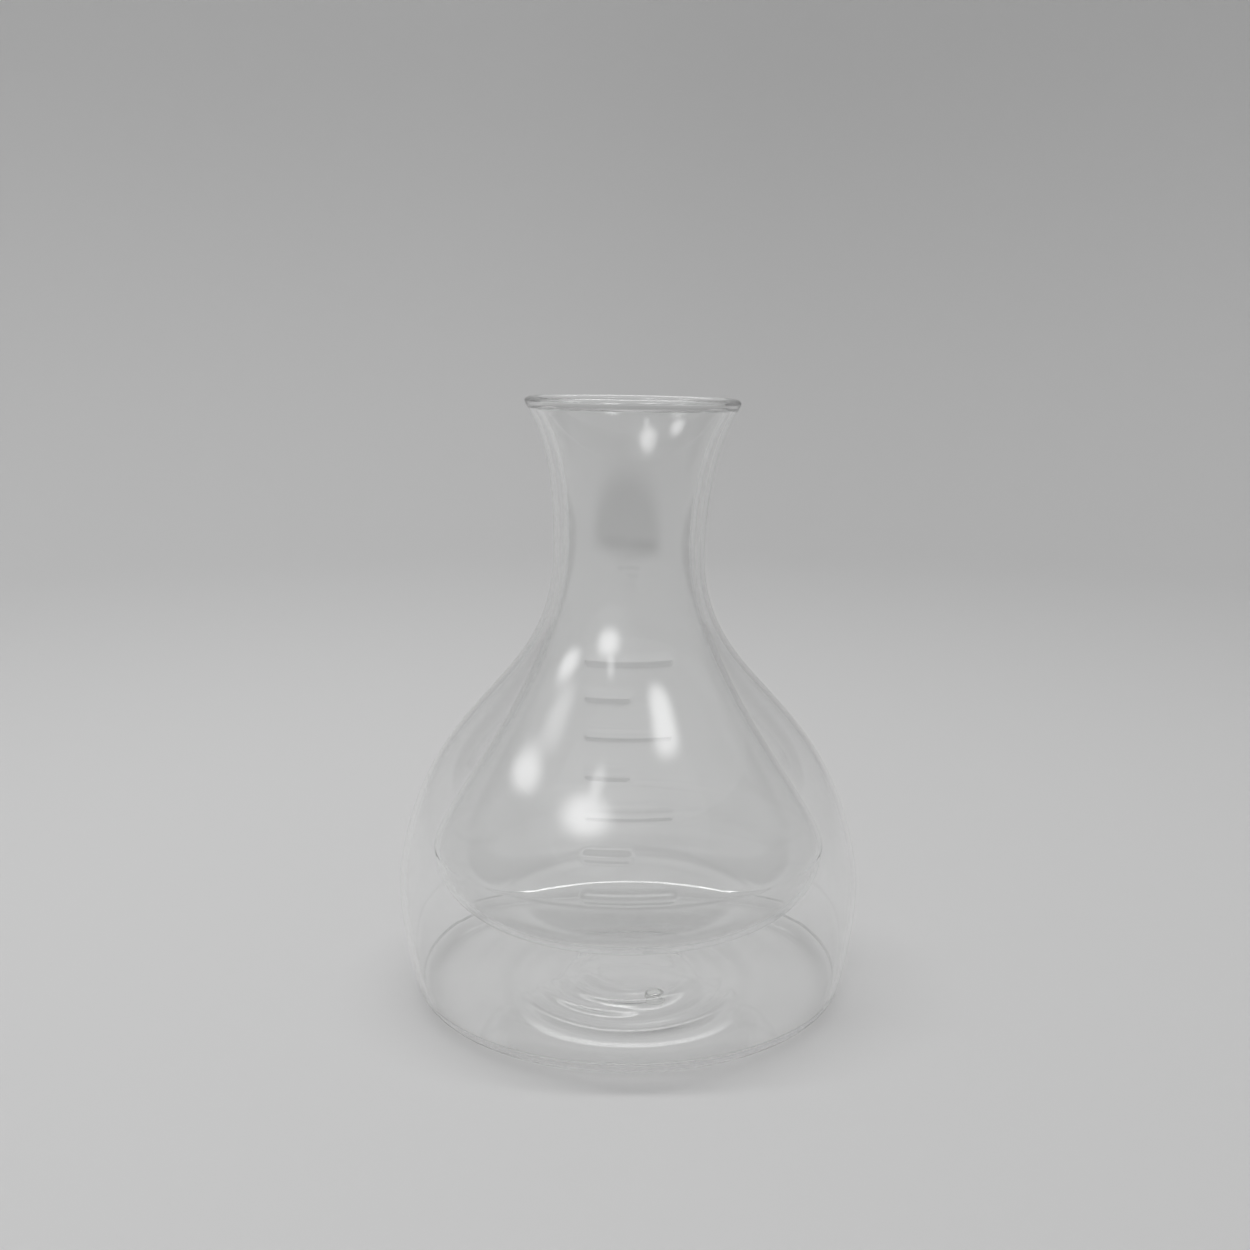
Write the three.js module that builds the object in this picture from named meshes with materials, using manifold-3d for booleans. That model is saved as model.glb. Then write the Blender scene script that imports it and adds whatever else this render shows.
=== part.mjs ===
// Double-walled glass flask: an inner bulb hangs from the mouth inside a bell-shaped outer wall.
// Millimetres, +Z up. The origin is on the axis, in the plane that the flask stands on.
import * as THREE from "three";
import { mergeVertices } from "three/addons/utils/BufferGeometryUtils.js";
import Module from "manifold-3d";

const wasm = await Module();
wasm.setup();

// Driving dimensions
const HEIGHT = 140;
const WALL = 1.3; // glass thickness of both walls
const LIP_WALL = 1.1; // the walls thin a little towards the mouth
const SEAM = 0.3; // gap left where two glass pieces are fused together
const TURN_STEPS = 48; // facets around the axis

// Rolled bead that joins the two walls at the mouth
const BEAD_R = 22.85; // axis of the flask to the middle of the bead
const BEAD_WIDE = 3.3;
const BEAD_TALL = 2;
const BEAD_SIDES = 12;
const LIP_Z = HEIGHT - BEAD_TALL - SEAM; // where both walls end, just under the bead
const LIP_LEAN = 28;

// Base: a pressed disc with an upturned heel, a flat ring to stand on and a shallow recess inside it
const STAND_INNER_R = 43.2;
const STAND_OUTER_R = 46.4;
const HEEL_BEND_R = 5; // outer radius of the heel's bend
const HEEL_LEAN = 15.5; // lean of the wall that rises from the heel
const HEEL_TILT = THREE.MathUtils.degToRad(HEEL_LEAN);
const HEEL_R = STAND_OUTER_R + HEEL_BEND_R * Math.cos(HEEL_TILT); // where the bend ends
const HEEL_Z = HEEL_BEND_R * (1 - Math.sin(HEEL_TILT));
const RECESS = 2; // how far the underside rises at the centre
const BASE_THICK = 1.7;
const BASE_STEPS = 12; // facets from the standing ring to the axis
const HEEL_STEPS = 4;
const RIPPLES = [
  { r: 14.7, rise: 0.5, width: 2.4 },
  { r: 24.5, rise: 0.6, width: 2.6 },
  { r: 35, rise: 0.35, width: 3 },
];

// Outer wall and inner bulb, as stations on the outer face of each. lean is the wall's angle from
// upright in degrees, positive where it opens upwards. before and after say how far the curve
// keeps that direction on each side, and steps is how many facets lead up to the station.
const OUTER_STATIONS = [
  { r: HEEL_R + SEAM * Math.tan(HEEL_TILT), z: HEEL_Z + SEAM, lean: HEEL_LEAN, after: 6.2 },
  { r: 54.2, z: 31.1, lean: -9.2, before: 8, after: 42.8, steps: 5 },
  { r: 17.5, z: 105.2, lean: 0, before: 33.1, after: 23.8, steps: 9 },
  { r: 24.05, z: LIP_Z, lean: LIP_LEAN, before: 0.8, steps: 6 },
];
const FLOOR_Z = 18.9; // underside of the inner bulb
const INNER_STATIONS = [
  { r: 0, z: FLOOR_Z, lean: 90, after: 8 },
  { r: 24, z: FLOOR_Z, lean: 90, before: 8, after: 14, steps: 1 },
  { r: 46.2, z: 35.7, lean: 0, before: 9, after: 7.5, steps: 6 },
  { r: 15.3, z: 107, lean: 0, before: 32.3, after: 22, steps: 9 },
  { r: 22.45, z: LIP_Z, lean: LIP_LEAN, before: 0.8, steps: 6 },
];

// Air hole in the base, closed by a melted drop of glass: a drop below, a stem and a cap above
const VENT = { x: 6, y: -16.3, holeR: 1.6, sides: 16 };
const DROP = { r: 2.6, tall: 1, edge: 0.2 };
const CAP = { r: 1.9, tall: 0.9, edge: 0.2 };

// Moulded scale on the front of the inner bulb: plain bars, long and short in turn. Each bar
// stands proud by raise and is rooted in the wall by root.
const BAR = { count: 7, lowest: 38, pitch: 7.5, stroke: 2.6, raise: 0.7, root: 0.5, arcSteps: 4 };
const LONG_BAR = 20;
const SHORT_BAR = 11;
const FLAT_BELOW = 0.3; // no bar where the wall climbs less than this share of its length

const GLASS = { color: 0xe9eeec, roughness: 0.04, metalness: 0, transparent: true, opacity: 0.35 };

// Direction of a wall that leans by this many degrees from upright
function leaning(degrees) {
  const angle = THREE.MathUtils.degToRad(degrees);
  return new THREE.Vector2(Math.sin(angle), Math.cos(angle));
}

// Points and unit tangents along the smooth line through the stations, x = radius and y = height
function walk(stations) {
  const line = [];
  for (let i = 1; i < stations.length; i++) {
    const from = stations[i - 1];
    const to = stations[i];
    const start = new THREE.Vector2(from.r, from.z);
    const end = new THREE.Vector2(to.r, to.z);
    const curve = new THREE.CubicBezierCurve(
      start,
      start.clone().addScaledVector(leaning(from.lean), from.after),
      end.clone().addScaledVector(leaning(to.lean), -to.before),
      end,
    );
    for (let s = i === 1 ? 0 : 1; s <= to.steps; s++) {
      const t = s / to.steps;
      line.push({ at: curve.getPoint(t), along: curve.getTangent(t) });
    }
  }
  return line;
}

// The glass gets thinner between the waist of the neck and the mouth
function thicknessAt(z, waistZ) {
  const share = THREE.MathUtils.clamp((z - waistZ) / (LIP_Z - waistZ), 0, 1);
  return THREE.MathUtils.lerp(WALL, LIP_WALL, share);
}

// The point on the other face of the wall, square to the outer face. The ends are cut level.
function inside(place, isCutLevel, waistZ) {
  const depth = thicknessAt(place.at.y, waistZ);
  if (isCutLevel) {
    return new THREE.Vector2(place.at.x - depth / place.along.y, place.at.y);
  }
  const square = new THREE.Vector2(-place.along.y, place.along.x);
  const point = place.at.clone().addScaledVector(square, depth);
  point.x = Math.max(point.x, 0);
  return point;
}

// Turns a profile about the flask's axis
function turned(profile, steps = TURN_STEPS) {
  return new THREE.LatheGeometry(profile, steps).rotateX(Math.PI / 2);
}

// A closed geometry as a solid that can be joined and cut
function solidOf(geometry) {
  geometry.deleteAttribute("normal");
  geometry.deleteAttribute("uv");
  const merged = mergeVertices(geometry, 1e-3);
  return new wasm.Manifold(
    new wasm.Mesh({
      numProp: 3,
      vertProperties: merged.attributes.position.array,
      triVerts: new Uint32Array(merged.index.array),
    }),
  );
}

function geometryOf(solid) {
  const { vertProperties, triVerts } = solid.getMesh();
  const geometry = new THREE.BufferGeometry();
  geometry.setAttribute("position", new THREE.BufferAttribute(vertProperties, 3));
  geometry.setIndex(new THREE.BufferAttribute(triVerts, 1));
  geometry.computeVertexNormals();
  return geometry;
}

function glassPiece(name, geometry) {
  const piece = new THREE.Mesh(geometry, new THREE.MeshStandardMaterial(GLASS));
  piece.name = name;
  return piece;
}

// Bell-shaped outer wall, open at the heel and at the mouth
function outerShell() {
  const waistZ = OUTER_STATIONS[2].z;
  const face = walk(OUTER_STATIONS);
  const last = face.length - 1;
  const back = face.map((place, i) => inside(place, i === 0 || i === last, waistZ));
  const profile = [...face.map((place) => place.at), ...back.reverse()];
  profile.push(profile[0].clone());
  return glassPiece("outer_shell", turned(profile));
}

// One bar of the scale: the stretch of a raised skin on the bulb that lies in front of the bar
function scaleBar(skin, z, length) {
  const outline = new THREE.Shape();
  const end = BAR.stroke / 2;
  const left = -LONG_BAR / 2 + end;
  const right = -LONG_BAR / 2 + length - end;
  outline.moveTo(left, z - end);
  outline.lineTo(right, z - end);
  outline.absarc(right, z, end, -Math.PI / 2, Math.PI / 2, false);
  outline.lineTo(left, z + end);
  outline.absarc(left, z, end, Math.PI / 2, (3 * Math.PI) / 2, false);
  const frontHalf = INNER_STATIONS[2].r + WALL;
  const reach = { depth: frontHalf, bevelEnabled: false, curveSegments: BAR.arcSteps };
  const prism = new THREE.ExtrudeGeometry(outline, reach).rotateX(Math.PI / 2);
  return skin.intersect(solidOf(prism));
}

// Bulb-shaped inner vessel with its neck, and the scale moulded into its front
function innerVessel() {
  const waistZ = INNER_STATIONS[3].z;
  const face = walk(INNER_STATIONS);
  const last = face.length - 1;
  const back = face.map((place, i) => inside(place, i === last, waistZ));
  const wall = [...face.map((place) => place.at), ...back.reverse()];

  const sides = face.filter((place) => place.along.y > FLAT_BELOW && place.at.y < waistZ);
  const shifted = (place, by) =>
    new THREE.Vector2(place.at.x + by * place.along.y, place.at.y - by * place.along.x);
  const skin = [
    ...sides.map((place) => shifted(place, BAR.raise)),
    ...sides.map((place) => shifted(place, -BAR.root)).reverse(),
  ];
  skin.push(skin[0].clone());

  const skinSolid = solidOf(turned(skin));
  let vessel = solidOf(turned(wall));
  for (let i = 0; i < BAR.count; i++) {
    const length = i % 2 ? SHORT_BAR : LONG_BAR;
    vessel = vessel.add(scaleBar(skinSolid, BAR.lowest + i * BAR.pitch, length));
  }
  return glassPiece("inner_vessel", geometryOf(vessel));
}

// Height of the base's underside and of its upper face at a distance from the axis
function undersideZ(r) {
  return RECESS * (0.5 + 0.5 * Math.cos((Math.PI * r) / STAND_INNER_R));
}

function floorZ(r) {
  const heights = RIPPLES.map((ring) => ring.rise * Math.exp(-(((r - ring.r) / ring.width) ** 2)));
  return heights.reduce((sum, height) => sum + height, undersideZ(r) + BASE_THICK);
}

// Rippled disc that closes the outer wall at the bottom, with its upturned heel and its air hole
function outerBase() {
  const radii = [];
  for (let i = 0; i <= BASE_STEPS; i++) {
    radii.push((STAND_INNER_R * i) / BASE_STEPS);
  }
  const heel = [];
  for (let i = 0; i <= HEEL_STEPS; i++) {
    heel.push(leaning(90 - ((90 - HEEL_LEAN) * i) / HEEL_STEPS));
  }
  const bent = (out, bendR) =>
    new THREE.Vector2(STAND_OUTER_R + bendR * out.y, HEEL_BEND_R - bendR * out.x);
  const profile = [
    ...radii.map((r) => new THREE.Vector2(r, undersideZ(r))),
    ...heel.map((out) => bent(out, HEEL_BEND_R)),
    new THREE.Vector2(HEEL_R - WALL / Math.cos(HEEL_TILT), HEEL_Z),
    ...heel.slice(0, -1).reverse().map((out) => bent(out, HEEL_BEND_R - WALL)),
    ...radii.reverse().map((r) => new THREE.Vector2(r, floorZ(r))),
  ];
  const holeDepth = 3 * BASE_THICK + 2 * RECESS;
  const hole = new THREE.CylinderGeometry(VENT.holeR, VENT.holeR, holeDepth, VENT.sides);
  hole.rotateX(Math.PI / 2).translate(VENT.x, VENT.y, RECESS);
  return glassPiece("outer_base", geometryOf(solidOf(turned(profile)).subtract(solidOf(hole))));
}

// Melted drop that fills the air hole, with a flat drop below the base and a cap above it
function ventSeal() {
  const r = Math.hypot(VENT.x, VENT.y);
  const below = undersideZ(r) - SEAM;
  const above = floorZ(r) + 2 * SEAM;
  const stemR = VENT.holeR - SEAM;
  const outline = new THREE.Path();
  outline.moveTo(0, below - DROP.tall);
  outline.quadraticCurveTo(DROP.r, below - DROP.tall, DROP.r, below - DROP.edge);
  outline.lineTo(stemR, below);
  outline.lineTo(stemR, above);
  outline.lineTo(CAP.r, above + CAP.edge);
  outline.quadraticCurveTo(CAP.r, above + CAP.tall, 0, above + CAP.tall);
  const seal = glassPiece("vent_seal", turned(outline.getPoints(4), VENT.sides));
  seal.position.set(VENT.x, VENT.y, 0);
  return seal;
}

// Fire-polished bead at the mouth, with a narrow flat crest
function rimBead() {
  const half = Math.PI / BEAD_SIDES;
  const profile = [];
  for (let i = 0; i <= BEAD_SIDES; i++) {
    const angle = (2 * i + 1) * half;
    const out = Math.cos(angle) / Math.cos(half);
    const up = Math.sin(angle) / Math.cos(half);
    profile.push(
      new THREE.Vector2(BEAD_R + (BEAD_WIDE / 2) * out, HEIGHT + (BEAD_TALL / 2) * (up - 1)),
    );
  }
  return glassPiece("rim_bead", turned(profile));
}

const flask = new THREE.Group();
flask.name = "double_walled_flask";
flask.add(outerShell(), outerBase(), innerVessel(), rimBead(), ventSeal());

export default flask;
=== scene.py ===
"""The looks of a double-walled glass flask, built in Blender 4.5 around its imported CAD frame."""
import math

import bpy
from mathutils import Matrix, Vector, noise


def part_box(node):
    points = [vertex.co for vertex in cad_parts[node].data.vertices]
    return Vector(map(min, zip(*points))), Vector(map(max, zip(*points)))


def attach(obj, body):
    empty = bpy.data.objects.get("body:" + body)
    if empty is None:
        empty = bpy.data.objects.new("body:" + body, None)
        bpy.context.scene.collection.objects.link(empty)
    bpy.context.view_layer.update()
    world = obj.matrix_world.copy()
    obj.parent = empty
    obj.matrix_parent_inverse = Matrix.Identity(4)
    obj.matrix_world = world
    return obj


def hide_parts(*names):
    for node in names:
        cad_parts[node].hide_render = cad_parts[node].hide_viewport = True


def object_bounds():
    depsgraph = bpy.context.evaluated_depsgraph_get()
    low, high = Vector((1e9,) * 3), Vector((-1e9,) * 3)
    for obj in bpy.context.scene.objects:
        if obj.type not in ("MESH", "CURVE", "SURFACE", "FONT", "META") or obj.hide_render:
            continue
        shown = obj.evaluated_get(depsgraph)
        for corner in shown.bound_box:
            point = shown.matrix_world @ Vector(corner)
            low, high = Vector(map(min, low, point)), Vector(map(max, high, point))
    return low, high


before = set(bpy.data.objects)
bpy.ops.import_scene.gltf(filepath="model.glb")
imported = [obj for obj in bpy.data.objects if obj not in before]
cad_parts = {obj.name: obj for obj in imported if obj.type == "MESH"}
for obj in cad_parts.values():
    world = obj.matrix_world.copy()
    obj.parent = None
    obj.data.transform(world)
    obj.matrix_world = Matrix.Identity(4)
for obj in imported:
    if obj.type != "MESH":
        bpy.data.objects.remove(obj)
cad_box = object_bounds()

MM = 0.001
HEIGHT = cad_box[1][2] - cad_box[0][2]

# ---------------------------------------------------------------- glass outlines
# Stations on the outer face of each wall: radius and height in millimetres, lean from upright in
# degrees, and how far the curve keeps that direction before and after the station.
LIP_Z = 137.85
LIP_LEAN = 28
OVERLAP = 0.02  # fused pieces share this much glass, so that no gap shows between them
STAND_INNER_R = 43.2
STAND_OUTER_R = 46.4
HEEL_BEND_R = 5
HEEL_LEAN = 15.5
HEEL_TILT = math.radians(HEEL_LEAN)
HEEL_TOP = 0.15  # the seam lies this much above the end of the heel's bend
HEEL_Z = HEEL_BEND_R * (1 - math.sin(HEEL_TILT)) + HEEL_TOP
HEEL_R = STAND_OUTER_R + HEEL_BEND_R * math.cos(HEEL_TILT) + HEEL_TOP * math.tan(HEEL_TILT)
OUTER = [
    dict(r=HEEL_R, z=HEEL_Z, lean=HEEL_LEAN, after=6.3),
    dict(r=54.2, z=31.1, lean=-9.2, before=8, after=42.8),
    dict(r=17.5, z=105.2, lean=0, before=33.1, after=23.8),
    dict(r=24.13, z=LIP_Z, lean=LIP_LEAN, before=0.8),
]
INNER = [
    dict(r=0, z=18.9, lean=90, after=8),
    dict(r=24, z=18.9, lean=90, before=8, after=14),
    dict(r=46.2, z=35.7, lean=0, before=9, after=7.5),
    dict(r=15.3, z=107, lean=0, before=32.3, after=22),
    dict(r=22.53, z=LIP_Z, lean=LIP_LEAN, before=0.8),
]
WALL = 1.3
LIP_WALL = 1.1
WAIST_Z = 106


def leaning(degrees):
    angle = math.radians(degrees)
    return Vector((math.sin(angle), math.cos(angle)))


def bezier(p0, p1, p2, p3, t):
    """A point on a cubic curve and its unit tangent."""
    s = 1 - t
    point = s ** 3 * p0 + 3 * s * s * t * p1 + 3 * s * t * t * p2 + t ** 3 * p3
    slope = 3 * s * s * (p1 - p0) + 6 * s * t * (p2 - p1) + 3 * t * t * (p3 - p2)
    return point, slope.normalized()


def walk(stations, step):
    """Places (point, tangent) along the smooth line through the stations, about step apart."""
    places = []
    for a, b in zip(stations[:-1], stations[1:]):
        p0 = Vector((a["r"], a["z"]))
        p3 = Vector((b["r"], b["z"]))
        p1 = p0 + leaning(a["lean"]) * a["after"]
        p2 = p3 - leaning(b["lean"]) * b["before"]
        count = max(2, round((p3 - p0).length / step))
        first = 0 if not places else 1
        places += [bezier(p0, p1, p2, p3, i / count) for i in range(first, count + 1)]
    return places


def thickness(z):
    share = min(max((z - WAIST_Z) / (LIP_Z - WAIST_Z), 0), 1)
    return WALL + (LIP_WALL - WALL) * share


def offset_face(places, level_first, level_last):
    """The other face of a wall, square to its outer face, with level cuts where asked."""
    face = []
    for i, (point, along) in enumerate(places):
        depth = thickness(point.y)
        is_cut = (i == 0 and level_first) or (i == len(places) - 1 and level_last)
        if is_cut:
            face.append(Vector((point.x - depth / along.y, point.y)))
        else:
            place = point + Vector((-along.y, along.x)) * depth
            face.append(Vector((max(place.x, 0), place.y)))
    return face


# ---------------------------------------------------------------- turned meshes
ON_AXIS_R = 1e-6  # a point closer than this to the axis is one vertex, not a ring
SHARP_EDGE = math.radians(40)


def even_angles(count):
    return [math.tau * i / count for i in range(count)]


def turned_mesh(name, profile, angles, shape, is_ring):
    """A closed mesh turned about Z.

    profile holds (r, z, face) in mm, and shape gives each vertex its place. A ring's profile is a
    closed loop. Any other profile starts and ends on the axis.
    """
    verts = []
    rows = []
    for r, z, face in profile:
        if r < ON_AXIS_R:
            rows.append([len(verts)])
            verts.append(shape(0, z, 0, face))
        else:
            rows.append(list(range(len(verts), len(verts) + len(angles))))
            verts += [shape(r, z, angle, face) for angle in angles]
    faces = []
    last = len(rows) if is_ring else len(rows) - 1
    for i in range(last):
        low = rows[i]
        high = rows[(i + 1) % len(rows)]
        for j in range(len(angles)):
            k = (j + 1) % len(angles)
            if len(low) == 1:
                faces.append((low[0], high[k], high[j]))
            elif len(high) == 1:
                faces.append((low[j], low[k], high[0]))
            else:
                faces.append((low[j], low[k], high[k], high[j]))
    mesh = bpy.data.meshes.new(name)
    mesh.from_pydata([Vector(v) * MM for v in verts], [], faces)
    mesh.validate()
    mesh.polygons.foreach_set("use_smooth", [True] * len(mesh.polygons))
    mesh.set_sharp_from_angle(angle=SHARP_EDGE)
    piece = bpy.data.objects.new(name, mesh)
    bpy.context.scene.collection.objects.link(piece)
    return piece


MOUTH_LEAN = 1.0  # how far the mouth stands to the side of the axis
MOUTH_TILT = math.radians(1)
LEANS_FROM_Z = 95
SWELL = 0.14  # how far the walls drift from round, in mm, and how fast that changes per mm
SWELL_PACE = 0.018
RIPPLE = 0.006  # a finer unevenness, different on each face of a wall
RIPPLE_PACE = 0.05
RIPPLE_TALL = 0.6  # it changes more slowly upwards than around
FACE_APART = 37.0
CALM_R = 8  # both fade out towards the axis within this radius


def eased(share):
    share = min(max(share, 0), 1)
    return share * share * (3 - 2 * share)


def blown(r, z, angle, face):
    """The place of a point on blown glass: turned, with the slight unevenness of hand work."""
    x = r * math.sin(angle)
    y = -r * math.cos(angle)
    drift = noise.noise(Vector((x, y, z)) * SWELL_PACE)
    own_place = Vector((face * FACE_APART, 0, 0))
    ripple = noise.noise(Vector((x, y, z * RIPPLE_TALL)) * RIPPLE_PACE + own_place)
    grow = (SWELL * drift + RIPPLE * ripple) * min(1, r / CALM_R) / max(r, 1)
    x *= 1 + grow
    y *= 1 + grow
    lean = eased((z - LEANS_FROM_Z) / (LIP_Z - LEANS_FROM_Z))
    return (x + MOUTH_LEAN * lean, y, z - math.tan(MOUTH_TILT) * lean * x)


FACE_OUT = 0
FACE_IN = 1
TURN_STEPS = 360
SHELL_STEP = 1.1  # mm between the points of the shell's profile


def wall_profile(outside, inside):
    """One closed outline from the two faces of a wall, both given from the bottom up."""
    return [(p.x, p.y, FACE_OUT) for p in outside] + [(p.x, p.y, FACE_IN) for p in reversed(inside)]


def outer_shell():
    places = walk(OUTER, SHELL_STEP)
    outside = [p.copy() for p, _ in places]
    inside = offset_face(places, True, True)
    for face in (outside, inside):
        face[0].y -= OVERLAP
        face[-1].y += OVERLAP
    profile = wall_profile(outside, inside)
    return turned_mesh("outer_shell_glass", profile, even_angles(TURN_STEPS), blown, True)


BAR_COUNT = 7
BAR_LOWEST = 38
BAR_PITCH = 7.5
BAR_STROKE = 2.6
BAR_RAISE = 0.85
BAR_EDGE = 1.25  # the width over which a bar rises from the wall
BAR_FOOT = 0.15  # the rise starts this far outside the bar's outline
LONG_BAR = 20
SHORT_BAR = 11
SCALE_HALF = 12  # the scale lies within this far of the middle and between these heights
SCALE_LOW = 34
SCALE_HIGH = 88


def scale_relief(x, z):
    """How far the moulded scale stands out at a point on the bulb's front."""
    most = 0
    for i in range(BAR_COUNT):
        length = SHORT_BAR if i % 2 else LONG_BAR
        half = (length - BAR_STROKE) / 2
        centre = -LONG_BAR / 2 + length / 2
        away = math.hypot(max(abs(x - centre) - half, 0), z - BAR_LOWEST - i * BAR_PITCH)
        most = max(most, (BAR_STROKE / 2 + BAR_FOOT - away) / BAR_EDGE)
    return BAR_RAISE * eased(most)


def bulb_place(r, z, angle, face):
    x, y, z = blown(r, z, angle, face)
    if face == FACE_OUT and y < 0 and abs(x) < SCALE_HALF and SCALE_LOW < z < SCALE_HIGH:
        raised = scale_relief(x, z) / math.hypot(x, y)
        x *= 1 + raised
        y *= 1 + raised
    return (x, y, z)


def front_angles(fine_count, coarse_count, half_front):
    """Angles that lie closer together on the front, where the scale is."""
    fine = [-half_front + 2 * half_front * i / fine_count for i in range(fine_count)]
    rest = math.tau - 2 * half_front
    return fine + [half_front + rest * i / coarse_count for i in range(coarse_count)]


SCALE_STEP = 0.6  # mm between the points of the bulb's outer profile, which carries the scale
BULB_STEP = 1.3  # and of its plain inner profile
FRONT_HALF = math.radians(30)
FRONT_COUNT = 110
REST_COUNT = 130


def inner_vessel():
    outside = [p.copy() for p, _ in walk(INNER, SCALE_STEP)]
    inside = offset_face(walk(INNER, BULB_STEP), False, True)
    outside[-1].y += OVERLAP
    inside[-1].y += OVERLAP
    profile = wall_profile(outside, inside)
    angles = front_angles(FRONT_COUNT, REST_COUNT, FRONT_HALF)
    return turned_mesh("inner_vessel_glass", profile, angles, bulb_place, False)


BEAD_R = 22.85
BEAD_WIDE = 3.3
BEAD_MIDDLE = 138.95
ROUND = 0.5523  # reach of the handles that make a cubic curve a quarter of a circle
BEAD_FLARE = 0.5  # mm for which the bead keeps the lean of the walls below it
BEAD_DROP = 0.7  # share of the upper handles' reach that the lower ones have
BEAD_STEPS = 14
FOOT_STEPS = 8
FOOT_CUTS = 4


def rim_bead():
    wall_out = OUTER[-1]["r"]
    wall_in = INNER[-1]["r"] - LIP_WALL / math.cos(math.radians(LIP_LEAN))
    crest = Vector((BEAD_R, HEIGHT / MM))
    outer_side = Vector((BEAD_R + BEAD_WIDE / 2, BEAD_MIDDLE))
    inner_side = Vector((BEAD_R - BEAD_WIDE / 2, BEAD_MIDDLE))
    foot_out = Vector((wall_out, LIP_Z))
    foot_in = Vector((wall_in, LIP_Z))
    up = Vector((0, ROUND * (crest.y - BEAD_MIDDLE)))
    across = Vector((ROUND * BEAD_WIDE / 2, 0))
    down = up * BEAD_DROP
    flare = leaning(LIP_LEAN) * BEAD_FLARE
    curves = (
        (foot_out, foot_out + flare, outer_side - down, outer_side, FOOT_STEPS),
        (outer_side, outer_side + up, crest + across, crest, BEAD_STEPS),
        (crest, crest - across, inner_side + up, inner_side, BEAD_STEPS),
        (inner_side, inner_side - down, foot_in + flare, foot_in, FOOT_STEPS),
    )
    profile = []
    for p0, p1, p2, p3, count in curves:
        profile += [bezier(p0, p1, p2, p3, i / count)[0] for i in range(count)]
    profile.append(foot_in)
    count = len(profile)
    rows = [(p.x, p.y, FACE_OUT if i < count / 2 else FACE_IN) for i, p in enumerate(profile)]
    cut = (wall_out - wall_in) / FOOT_CUTS
    rows += [(wall_in + cut * i, LIP_Z, FACE_IN) for i in range(1, FOOT_CUTS)]
    return turned_mesh("rim_bead_glass", rows, even_angles(TURN_STEPS), blown, True)


RECESS = 2
BASE_THICK = 1.7
THINS_FROM_R = 18
# Rings pressed into the base: radius, height and width in mm, how far each is shifted to the front,
# and the middle and the spread of the arc that it covers, in degrees from the front.
RIPPLES = [
    dict(r=10.5, rise=0.35, width=2.0, ahead=3.5, middle=-30, spread=110),
    dict(r=15.2, rise=0.65, width=2.5, ahead=4.0, middle=0, spread=400),
    dict(r=20.8, rise=0.45, width=1.8, ahead=3.5, middle=-35, spread=70),
    dict(r=26.4, rise=1.15, width=3.3, ahead=6.0, middle=10, spread=260),
    dict(r=35.5, rise=0.3, width=3.0, ahead=0.5, middle=180, spread=300),
]


def ripple_height(x, y):
    """How far the rings stand up at a place on the base. They wander and change in strength."""
    height = 0
    for k, ring in enumerate(RIPPLES):
        r = math.hypot(x, y + ring["ahead"])
        angle = math.atan2(x, -(y + ring["ahead"]))
        wander = 0.5 * math.sin(angle + k) + 0.35 * math.sin(2 * angle + 2.3 * k)
        away = abs(math.remainder(angle - math.radians(ring["middle"]), math.tau))
        strength = eased(1.5 - away / math.radians(ring["spread"] / 2))
        strength *= 0.85 + 0.15 * math.sin(angle * 3 + 1.7 * k)
        off = (r - ring["r"] - wander) / ring["width"]
        height += strength * ring["rise"] * math.exp(-off * off)
    return height


FACE_FLOOR = 2
FACE_UNDER = 3
UNDER_SHARE = 0.35  # the rings show less on the underside, and slightly shifted
UNDER_SHIFT = 1.02


def base_place(r, z, angle, face):
    x, y, z = blown(r, z, angle, FACE_OUT if face in (FACE_OUT, FACE_UNDER) else FACE_IN)
    if face == FACE_FLOOR:
        z += ripple_height(x, y)
    if face == FACE_UNDER:
        z += UNDER_SHARE * ripple_height(x * UNDER_SHIFT, y)
    return (x, y, z)


def underside(r):
    return RECESS * (0.5 + 0.5 * math.cos(math.pi * r / STAND_INNER_R))


def base_thickness(r):
    """The base thins out smoothly to the wall's thickness at the heel."""
    share = eased((r - THINS_FROM_R) / (STAND_OUTER_R - THINS_FROM_R))
    return BASE_THICK + (WALL - BASE_THICK) * share


BASE_STEPS = 72
HEEL_STEPS = 14


def outer_base():
    radii = [STAND_INNER_R * i / BASE_STEPS for i in range(BASE_STEPS + 1)]
    profile = [(r, underside(r), FACE_UNDER) for r in radii]
    profile.append(((STAND_INNER_R + STAND_OUTER_R) / 2, 0, FACE_OUT))
    quarter = math.pi / 2
    bend = [quarter - (quarter - HEEL_TILT) * i / HEEL_STEPS for i in range(HEEL_STEPS + 1)]

    def bent(angle, radius, face):
        r = STAND_OUTER_R + radius * math.cos(angle)
        return (r, HEEL_BEND_R - radius * math.sin(angle), face)

    profile += [bent(angle, HEEL_BEND_R, FACE_OUT) for angle in bend]
    profile.append((HEEL_R, HEEL_Z + OVERLAP, FACE_OUT))
    profile.append((HEEL_R - WALL / math.cos(HEEL_TILT), HEEL_Z + OVERLAP, FACE_IN))
    profile += [bent(angle, HEEL_BEND_R - WALL, FACE_IN) for angle in reversed(bend)]
    profile += [(r, underside(r) + base_thickness(r), FACE_FLOOR) for r in reversed(radii)]
    return turned_mesh("outer_base_glass", profile, even_angles(TURN_STEPS), base_place, False)


# The melted drop, from below: radius, and height above the CAD drop's lowest point, in mm
SEAL_BELOW = ((0, 0.45), (1.2, 0.5), (2.1, 0.7), (2.5, 1.0), (2.1, 1.25))
SEAL_STEM = ((1.5, 1.35), (1.32, 1.8), (1.4, 2.6))
SEAL_CAP = ((1.9, 3.0), (2.3, 3.25), (1.9, 3.6), (1.1, 3.95), (0, 4.05))
SEAL_SIDES = 32
SEAL_LUMP = 0.06
SEAL_ROUNDING = 2


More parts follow.
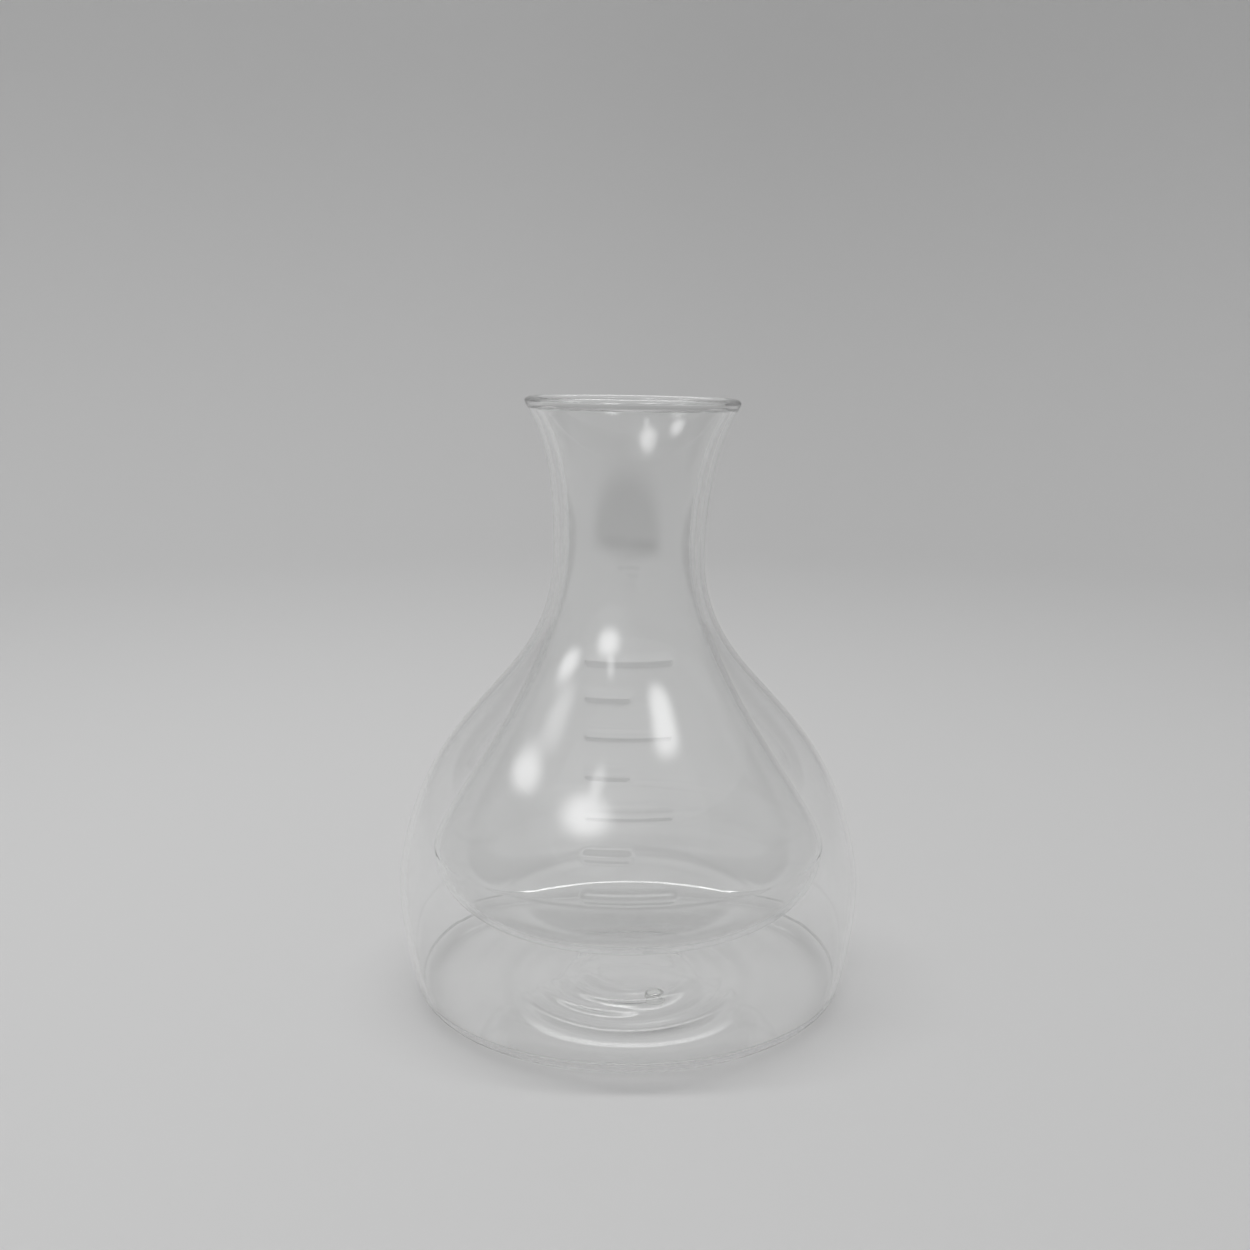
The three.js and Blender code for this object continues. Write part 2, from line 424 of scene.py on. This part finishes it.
def vent_seal():
    low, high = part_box("vent_seal")
    middle = (low + high) / 2 / MM
    bottom = low.z / MM

    def drop(r, z, angle, face):
        wide = r * (1 + SEAL_LUMP * math.sin(2 * angle + z))
        return (middle.x + wide * math.sin(angle), middle.y - wide * math.cos(angle), bottom + z)

    profile = [(r, z, FACE_OUT) for r, z in SEAL_BELOW + SEAL_STEM + SEAL_CAP]
    piece = turned_mesh("vent_seal_glass", profile, even_angles(SEAL_SIDES), drop, False)
    rounding = piece.modifiers.new("rounding", "SUBSURF")
    rounding.levels = SEAL_ROUNDING
    rounding.render_levels = SEAL_ROUNDING
    return piece


# ---------------------------------------------------------------- materials
GLASS_IOR = 1.47
SHADOW_POWER = 4.2  # how narrow the edges are that hold lamplight back, and how much they hold back
SHADOW_DEPTH = 0.85


def node_material(name):
    material = bpy.data.materials.new(name)
    material.use_nodes = True
    nodes = material.node_tree.nodes
    return material, nodes, material.node_tree.links, nodes["Principled BSDF"]


def math_node(nodes, links, operation, *values):
    """A Math node whose inputs are sockets or numbers."""
    node = nodes.new("ShaderNodeMath")
    node.operation = operation
    for socket, value in zip(node.inputs, values):
        if isinstance(value, (int, float)):
            socket.default_value = value
        else:
            links.new(value, socket)
    return node.outputs[0]


def glass_material(name, tint, cloud_scale):
    """Clear fire-polished glass. Its tint varies a little, as the glass is nowhere quite even."""
    material, nodes, links, shader = node_material(name)
    shader.inputs["Transmission Weight"].default_value = 1
    shader.inputs["IOR"].default_value = GLASS_IOR
    shader.inputs["Roughness"].default_value = 0
    place = nodes.new("ShaderNodeTexCoord")
    cloud = nodes.new("ShaderNodeTexNoise")
    cloud.inputs["Scale"].default_value = cloud_scale
    cloud.inputs["Detail"].default_value = 1
    links.new(place.outputs["Object"], cloud.inputs["Vector"])
    shade = nodes.new("ShaderNodeMixRGB")
    shade.inputs["Color1"].default_value = (*tint, 1)
    shade.inputs["Color2"].default_value = (*[0.5 + 0.5 * c for c in tint], 1)
    links.new(cloud.outputs["Fac"], shade.inputs["Fac"])
    links.new(shade.outputs["Color"], shader.inputs["Base Color"])

    # Lamplight goes straight through, less where the wall is met edge on. That gives the flask its
    # soft shadow without the grain of true caustics. The light of floor and walls passes in full.
    edge = nodes.new("ShaderNodeLayerWeight")
    loss = math_node(nodes, links, "POWER", edge.outputs["Facing"], SHADOW_POWER)
    lamplight = nodes.new("ShaderNodeBsdfTransparent")
    links.new(math_node(nodes, links, "MULTIPLY_ADD", loss, -SHADOW_DEPTH, 1), lamplight.inputs["Color"])
    path = nodes.new("ShaderNodeLightPath")
    surface = shader.outputs[0]
    unchanged = nodes.new("ShaderNodeBsdfTransparent")
    for ray, straight in (("Is Shadow Ray", lamplight), ("Is Diffuse Ray", unchanged)):
        mixer = nodes.new("ShaderNodeMixShader")
        links.new(path.outputs[ray], mixer.inputs[0])
        links.new(surface, mixer.inputs[1])
        links.new(straight.outputs[0], mixer.inputs[2])
        surface = mixer.outputs[0]
    links.new(surface, nodes["Material Output"].inputs["Surface"])
    return material


def backdrop_painted_shade_material():
    """Matt paper with painted shade: palest where the flask stands, darker far off, high up and on the
    right, where less light falls.
    """
    material, nodes, links, shader = node_material("matt_backdrop_painted_shade")
    shader.inputs["Roughness"].default_value = 1
    shader.inputs["Specular IOR Level"].default_value = 0
    place = nodes.new("ShaderNodeTexCoord")
    axes = nodes.new("ShaderNodeSeparateXYZ")
    links.new(place.outputs["Object"], axes.inputs["Vector"])
    x, y, z = axes.outputs
    squares = math_node(nodes, links, "MULTIPLY_ADD", x, x, math_node(nodes, links, "MULTIPLY", y, y))
    far = math_node(nodes, links, "SQRT", squares)
    # Painted shade: the paper darkens towards the right and lightens towards the left, as if lit more
    # from the left
    painted_side_shade = math_node(nodes, links, "TANH", math_node(nodes, links, "MULTIPLY", x, 1 / SIDE_SHADE_REACH))
    painted_shade_shares = [math_node(nodes, links, "MULTIPLY_ADD", painted_side_shade, -SIDE_PAINTED_SHADE, 1)]
    # From where to where, in metres, the painted shade darkens the paper, and to what share
    for source, start, end, share in (
        (far, 0.15, 0.6, FAR_PAINTED_SHADE),
        (z, 0, 0.5, WALL_PAINTED_SHADE),
        (z, 0.5, 0.8, TOP_PAINTED_SHADE),
    ):
        fade = nodes.new("ShaderNodeMapRange")
        fade.interpolation_type = "SMOOTHSTEP"
        links.new(source, fade.inputs["Value"])
        for label, value in (("From Min", start), ("From Max", end), ("To Min", 1), ("To Max", share)):
            fade.inputs[label].default_value = value
        painted_shade_shares.append(fade.outputs[0])
    # The soft contact shadow beneath the flask's standing ring
    outward = math_node(nodes, links, "SUBTRACT", far, CONTACT_R)
    across = math_node(nodes, links, "DIVIDE", outward, CONTACT_WIDE)
    spread = math_node(nodes, links, "MULTIPLY", math_node(nodes, links, "MULTIPLY", across, across), -1)
    contact = math_node(nodes, links, "EXPONENT", spread)
    painted_shade_shares.append(math_node(nodes, links, "MULTIPLY_ADD", contact, -CONTACT_LOSS, 1))
    grey = FLOOR_GREY
    for share in painted_shade_shares:
        grey = math_node(nodes, links, "MULTIPLY", share, grey)
    links.new(grey, shader.inputs["Base Color"])
    return material


# ---------------------------------------------------------------- the flask
# Name, tint where it is strongest, and how many of its clouds there are to a metre
clear = glass_material("clear_blown_glass", (0.985, 0.987, 0.986), 30)
pressed = glass_material("pressed_base_glass", (0.98, 0.983, 0.98), 60)
melted = glass_material("melted_seal_glass", (0.95, 0.96, 0.945), 300)

for make, node, slot, material in (
    (outer_shell, "outer_shell", "clear_glass", clear),
    (inner_vessel, "inner_vessel", "clear_glass", clear),
    (rim_bead, "rim_bead", "clear_glass", clear),
    (outer_base, "outer_base", "base_glass", pressed),
    (vent_seal, "vent_seal", "seal_glass", melted),
):
    piece = make()
    piece.data.materials.append(material)
    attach(piece, "root")
    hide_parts(node)

# ---------------------------------------------------------------- studio
# The paper, in metres
FLOOR_R = 0.75
BEND_R = 0.5
BEND_STEPS = 16
WALL_TOP = 1.0
PAPER_SIDES = 96
PAPER_GAP = 0.2 * MM  # it lies this much below the flask
FLOOR_GREY = 0.71
# How pale the painted shade leaves the paper far from the flask, on the wall and at the wall's top,
# where less light falls. Each share is taken of the one before.
FAR_PAINTED_SHADE = 0.95
WALL_PAINTED_SHADE = 0.89
TOP_PAINTED_SHADE = 0.72
CONTACT_R = (STAND_OUTER_R + 2) * MM
CONTACT_WIDE = 3 * MM
CONTACT_LOSS = 0.12
# Painted shade on the paper, darker on the right: how far out it reaches and how much it takes away
SIDE_SHADE_REACH = 0.15
SIDE_PAINTED_SHADE = 0.035
TENT_LIGHT = 0.68
TENT_SEEN = 0.42


def sweep():
    """A pale floor that curves up into a round wall, so that it looks the same from all sides."""
    profile = [(0.1, 0), (0.3, 0), (FLOOR_R, 0)]
    for i in range(1, BEND_STEPS + 1):
        angle = math.pi / 2 * i / BEND_STEPS
        profile.append((FLOOR_R + BEND_R * math.sin(angle), BEND_R * (1 - math.cos(angle))))
    profile.append((FLOOR_R + BEND_R, WALL_TOP))
    verts = []
    faces = []
    count = PAPER_SIDES
    for r, z in profile:
        verts += [(r * math.cos(a), r * math.sin(a), z - PAPER_GAP) for a in even_angles(count)]
    verts.append((0, 0, -PAPER_GAP))
    for j in range(count):
        k = (j + 1) % count
        faces.append((len(verts) - 1, j, k))
        for i in range(len(profile) - 1):
            faces.append((i * count + j, (i + 1) * count + j, (i + 1) * count + k, i * count + k))
    mesh = bpy.data.meshes.new("sweep")
    mesh.from_pydata(verts, [], faces)
    mesh.polygons.foreach_set("use_smooth", [True] * len(mesh.polygons))
    mesh.materials.append(backdrop_painted_shade_material())
    floor = bpy.data.objects.new("sweep", mesh)
    bpy.context.scene.collection.objects.link(floor)


def area_lamp(name, start, end, width, radiance):
    """A long soft lamp between two points, facing the flask."""
    start = Vector(start)
    end = Vector(end)
    length = (end - start).length
    data = bpy.data.lights.new(name, "AREA")
    data.shape = "RECTANGLE"
    data.size = length
    data.size_y = width
    data.energy = radiance * math.pi * length * width
    lamp = bpy.data.objects.new(name, data)
    bpy.context.scene.collection.objects.link(lamp)
    middle = (start + end) / 2
    along = (end - start).normalized()
    across = (middle - Vector((0, 0, HEIGHT / 2))).cross(along).normalized()
    normal = along.cross(across).normalized()
    turn = Matrix((along, across, normal)).transposed().to_4x4()
    lamp.matrix_world = Matrix.Translation(middle) @ turn
    lamp.visible_camera = False
    return lamp


def toward(elevation, azimuth, distance):
    """A point seen from the flask's middle in a direction in degrees; azimuth 0 is the front."""
    up = math.radians(elevation)
    side = math.radians(azimuth)
    flat = distance * math.cos(up)
    return Vector((flat * math.sin(side), -flat * math.cos(side), HEIGHT / 2 + distance * math.sin(up)))


def soft_material(name, light, shade, core, passes=0):
    """Adds light and takes away a share of what is behind: all of it in the core, none at the rim.

    It shows only where glass has mirrored the ray once, so that nothing is seen straight through the
    flask and the edges of its walls don't light up. passes is the number of glass faces that the
    ray must have gone through as well.
    """
    material, nodes, links, _ = node_material(name)
    place = nodes.new("ShaderNodeTexCoord")
    reach = nodes.new("ShaderNodeVectorMath")
    reach.operation = "LENGTH"
    links.new(place.outputs["Object"], reach.inputs[0])
    fade = nodes.new("ShaderNodeMapRange")
    fade.interpolation_type = "SMOOTHERSTEP"
    links.new(reach.outputs["Value"], fade.inputs["Value"])
    fade.inputs["From Min"].default_value = 1
    fade.inputs["From Max"].default_value = core
    path = nodes.new("ShaderNodeLightPath")
    mirrored = math_node(nodes, links, "COMPARE", path.outputs["Glossy Depth"], 1, 0.5)
    share = math_node(nodes, links, "MULTIPLY", fade.outputs[0], mirrored)
    if passes:
        faces = path.outputs["Transmission Depth"]
        passed = math_node(nodes, links, "GREATER_THAN", faces, passes - 0.5)
        share = math_node(nodes, links, "MULTIPLY", share, passed)
    glow = nodes.new("ShaderNodeEmission")
    links.new(math_node(nodes, links, "MULTIPLY", share, light), glow.inputs["Strength"])
    clear_view = nodes.new("ShaderNodeBsdfTransparent")
    links.new(math_node(nodes, links, "MULTIPLY_ADD", share, -shade, 1), clear_view.inputs["Color"])
    both = nodes.new("ShaderNodeAddShader")
    links.new(glow.outputs[0], both.inputs[0])
    links.new(clear_view.outputs[0], both.inputs[1])
    links.new(both.outputs[0], nodes["Material Output"].inputs["Surface"])
    material.cycles.emission_sampling = "NONE"
    return material


DISC_SIDES = 48
CARD_DISTANCE = 1.2
CARD_CORE = 0.1


def disc(name, middle, normal, half_width, half_height, material):
    """A flat oval in the studio that only the glass mirrors."""
    verts = [(math.cos(a), math.sin(a), 0) for a in even_angles(DISC_SIDES)]
    mesh = bpy.data.meshes.new(name)
    mesh.from_pydata(verts, [], [range(len(verts))])
    mesh.materials.append(material)
    card = bpy.data.objects.new(name, mesh)
    bpy.context.scene.collection.objects.link(card)
    turn = normal.to_track_quat("Z", "Y").to_matrix().to_4x4()
    size = Matrix.Diagonal((half_width, half_height, 1, 1))
    card.matrix_world = Matrix.Translation(middle) @ turn @ size
    for kind in ("camera", "diffuse", "shadow", "volume_scatter"):
        setattr(card, "visible_" + kind, False)
    return card


def soft_card(name, elevation, azimuth, half_width, half_height, light, shade):
    """A disc in that direction from the flask, turned towards it."""
    middle = toward(elevation, azimuth, CARD_DISTANCE)
    inward = toward(0, 0, 0) - middle
    material = soft_material(name, light, shade, CARD_CORE)
    return disc(name, middle, inward, half_width, half_height, material)


sweep()
# Cards: elevation and azimuth in degrees, half sizes in metres, light added, share taken away
FRONT_CARDS = (
    ("lamp_front", 39, -27, 0.42, 0.31, 8, 0),
    ("glow_front", 36, -25, 1.0, 0.9, 0.7, 0),
    ("lamp_front_high", 53, -25, 0.12, 0.2, 4, 0),
    ("lamp_left", 41, -79, 0.34, 0.22, 7, 0),
    ("lamp_left_high", 54, -88, 0.34, 0.2, 3.5, 0),
    ("lamp_right", 64, 47, 0.25, 0.18, 8, 0),
)
BACK_CARDS = (
    ("lamp_back", 41, 180, 0.5, 0.18, 3.6, 0),
    ("pale_back", 24, 180, 0.7, 0.38, 0.2, 0),
    ("dark_back", 66, 180, 0.8, 0.4, 0, 0.9),
    ("dark_left", 20, -126, 0.45, 0.45, 0, 0.6),
    ("dark_right", 20, 126, 0.45, 0.45, 0, 0.6),
)
for card in FRONT_CARDS:
    # These show only in the faces that mirror them straight on, not through the wall in front
    soft_card(*card).visible_transmission = False
for card in BACK_CARDS:
    soft_card(*card)

# The key lamp is a long one high above that lights the floor and the walls. The glass
# doesn't mirror it.
KEY_LEFT = (-0.7, 0.05, 1.3)
KEY_RIGHT = (0.5, 0.05, 1.3)
KEY_WIDTH = 0.1
KEY_RADIANCE = 12
key = area_lamp("lamp_key", KEY_LEFT, KEY_RIGHT, KEY_WIDTH, KEY_RADIANCE)
key.visible_glossy = False
key.visible_transmission = False

UPWARD = Vector((0, 0, 1))
FORWARD = Vector((0, -1, 0))
# Something dark on the floor in front of the flask, which the neck mirrors
DARK_PLACE = Vector((-0.07, -0.44, 0.001))
DARK_CORE = 0.4
dark_paper = soft_material("dark_paper", 0, 1, DARK_CORE)
disc("dark_card", DARK_PLACE, UPWARD, 0.75, 0.28, dark_paper)
# A narrow flag close behind the flask keeps the back lamp off the bulb's floor, but not off the
# base. It works on what has passed both walls on the way in and on the way out.
FLAG_PLACE = Vector((0, 0.1, 0.087))
FLAG_SHADE = 0.95
FLAG_CORE = 0.6
FLAG_PASSES = 8
flag_paper = soft_material("flag_paper", 0, FLAG_SHADE, FLAG_CORE, FLAG_PASSES)
disc("dark_flag", FLAG_PLACE, FORWARD, 0.12, 0.026, flag_paper)

scene = bpy.context.scene
world = bpy.data.worlds.new("tent")
scene.world = world
world.use_nodes = True
world.cycles.sampling_method = "NONE"
# The tent lights the paper more than it shows in the glass
tent_nodes = world.node_tree.nodes
tent_nodes["Background"].inputs["Color"].default_value = (1, 1, 1, 1)
tent_path = tent_nodes.new("ShaderNodeLightPath")
tent_links = world.node_tree.links
is_lighting = tent_path.outputs["Is Diffuse Ray"]
more = TENT_LIGHT - TENT_SEEN
strength = math_node(tent_nodes, tent_links, "MULTIPLY_ADD", is_lighting, more, TENT_SEEN)
tent_links.new(strength, tent_nodes["Background"].inputs["Strength"])

# ---------------------------------------------------------------- camera
FOCAL = 1.107  # focal length over the picture's width
PITCH = 10.65  # degrees below level
SENSOR = 36
CAMERA_ASIDE = -0.8 * MM
CAMERA_BACK = 2.270 * HEIGHT
CAMERA_UP = 1.0515 * HEIGHT
BOUNCES = 160  # light runs far along the inside of a glass wall
camera_data = bpy.data.cameras.new("camera")
camera_data.sensor_width = SENSOR
camera_data.lens = FOCAL * SENSOR
camera_data.clip_start = 0.01
camera = bpy.data.objects.new("camera", camera_data)
scene.collection.objects.link(camera)
camera.location = (CAMERA_ASIDE, -CAMERA_BACK, CAMERA_UP)
camera.rotation_euler = (math.radians(90 - PITCH), 0, 0)
scene.camera = camera

scene.view_settings.view_transform = "Standard"
scene.cycles.max_bounces = BOUNCES
scene.cycles.transmission_bounces = BOUNCES
scene.cycles.glossy_bounces = BOUNCES
scene.cycles.diffuse_bounces = 4
scene.cycles.transparent_max_bounces = 32
scene.cycles.blur_glossy = 0
